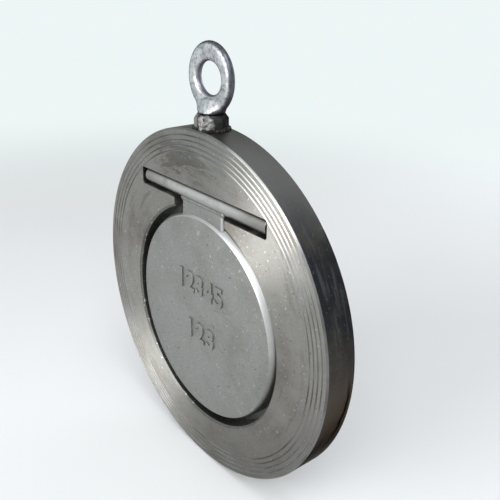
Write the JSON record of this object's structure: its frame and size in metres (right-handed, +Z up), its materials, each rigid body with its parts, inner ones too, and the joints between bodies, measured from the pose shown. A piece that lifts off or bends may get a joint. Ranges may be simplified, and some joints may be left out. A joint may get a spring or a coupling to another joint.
{
  "type": "wafer check valve",
  "caption": "Thin swing check valve: a flap on a shaft across the outlet face of a body ring that is clamped between two pipe flanges, with a lifting eye on the rim.",
  "frame": {"origin": "on the pipe axis, half-way between the two sealing faces", "axes": "+X across the valve along the hinge shaft, +Y along the pipe axis towards the inlet (water flows towards -Y), +Z up towards the lifting eye"},
  "size_m": [0.218, 0.02, 0.2646],
  "materials": {
    "turned_steel": "turned stainless steel, fine concentric tool marks",
    "cast_steel": "matt cast stainless steel, lightly ground",
    "shaft_steel": "drawn stainless bar, satin",
    "weld_steel": "weld bead, rippled",
    "fastener_steel": "cold-formed stainless, semi-bright",
    "nut_steel": "dull steel",
    "eye_steel": "forged and zinc plated, bright with dull patches",
    "nitrile_rubber": "moulded rubber, matt black"
  },
  "bodies": {
    "body_ring": {"valve_body": "turned_steel", "eye_nut": "nut_steel", "eye_bolt": "eye_steel", "nut_weld_left": "weld_steel", "nut_weld_right": "weld_steel"},
    "flap": {"clapper_disc": "cast_steel", "hinge_shaft": "shaft_steel", "shaft_weld_left": "weld_steel", "shaft_weld_right": "weld_steel", "disc_seal_ring": "nitrile_rubber", "seal_retainer_plate": "turned_steel", "retainer_screw_1": "fastener_steel", "retainer_screw_2": "fastener_steel", "retainer_screw_3": "fastener_steel", "retainer_screw_4": "fastener_steel", "retainer_screw_5": "fastener_steel", "retainer_screw_6": "fastener_steel", "spring_washer_1": "fastener_steel", "spring_washer_2": "fastener_steel", "spring_washer_3": "fastener_steel", "spring_washer_4": "fastener_steel", "spring_washer_5": "fastener_steel", "spring_washer_6": "fastener_steel"}
  },
  "joints": [
    {"name": "clapper_swing", "type": "hinge", "parent": "body_ring", "child": "flap", "pos_m": [0, -0.00495, 0.06975], "axis": [-1, 0, 0], "range_deg": [0, 65]}
  ]
}
